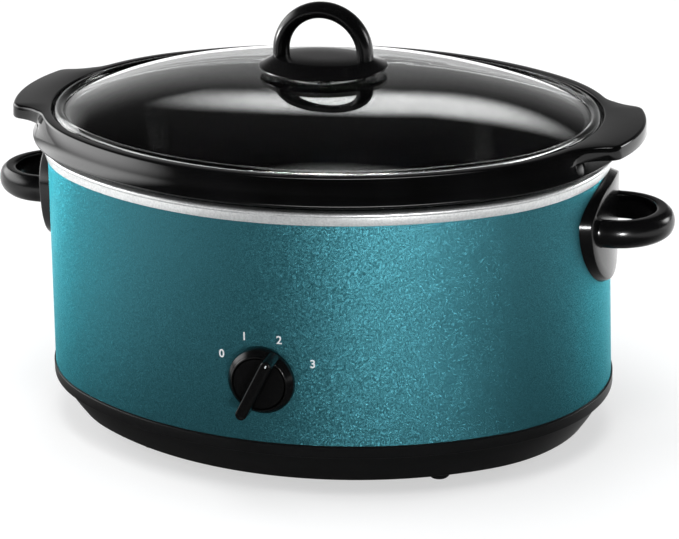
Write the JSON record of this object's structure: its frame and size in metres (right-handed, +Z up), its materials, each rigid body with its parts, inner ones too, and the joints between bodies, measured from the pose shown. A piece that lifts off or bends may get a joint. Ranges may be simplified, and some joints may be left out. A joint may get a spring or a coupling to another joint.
{
  "type": "slow cooker",
  "caption": "Oval countertop slow cooker: metal-wrapped heating base with loop handles and a rotary switch, lift-out stoneware crock with ears, and a domed glass lid with an arched knob.",
  "frame": {"origin": "on the table under the middle of the whole part's box, at the level of the feet's undersides", "axes": "+Z up, +X along the body's length to the right hand of someone facing the control knob, -Y out of the front with the knob"},
  "size_m": [0.4496, 0.3049, 0.2769],
  "materials": {
    "base_plastic": "moulded black, fine satin grain",
    "foot_rubber": "black, matt",
    "teal_enamel": "metallic flake paint under a clear coat",
    "band_steel": "bright aluminised sheet",
    "plain_steel": "zinc plated",
    "heater_wrap": "woven glass cloth over the heating wire",
    "fuse_ceramic": "pale sleeve",
    "lead_silicone": "red silicone insulation",
    "terminal_brass": "tinned brass",
    "handle_plastic": "glossy black",
    "switch_plastic": "black",
    "knob_plastic": "glossy black",
    "gland_plastic": "black nylon",
    "black_glaze": "glossy black glaze",
    "clear_glass": "clear tempered glass",
    "seal_silicone": "dark grey silicone"
  },
  "bodies": {
    "base": {"base_pan": "base_plastic", "rubber_feet": "foot_rubber", "outer_wrap": "teal_enamel", "heating_well": "band_steel", "well_bracket": "plain_steel", "tie_stud": "plain_steel", "tie_washer": "plain_steel", "tie_nut": "plain_steel", "heat_shield": "plain_steel", "heater_band": "heater_wrap", "clamp_screw": "plain_steel", "clamp_nut": "plain_steel", "thermal_fuse": "fuse_ceramic", "fuse_clip": "plain_steel", "internal_leads": "lead_silicone", "push_on_terminals": "terminal_brass", "handle_right": "handle_plastic", "handle_left": "handle_plastic", "handle_plates": "plain_steel", "handle_screws": "plain_steel", "rotary_switch": "switch_plastic", "switch_nut": "plain_steel", "cord_gland": "gland_plastic"},
    "crock": {"stoneware_crock": "black_glaze"},
    "lid": {"glass_lid": "clear_glass", "lid_knob": "knob_plastic", "lid_knob_seal": "seal_silicone", "lid_knob_washer": "plain_steel", "lid_knob_screw": "plain_steel"},
    "knob": {"control_knob": "knob_plastic", "knob_clip": "plain_steel", "switch_shaft": "plain_steel"}
  },
  "joints": [
    {"name": "crock_lift", "type": "slide", "parent": "base", "child": "crock", "axis": [0, 0, 1], "range_m": [0, 0.15]},
    {"name": "lid_lift", "type": "slide", "parent": "crock", "child": "lid", "axis": [0, 0, 1], "range_m": [0, 0.08]},
    {"name": "knob_turn", "type": "hinge", "parent": "base", "child": "knob", "pos_m": [0, -0.14, 0.0795], "axis": [0, 1, 0], "range_deg": [-91, 43]}
  ]
}
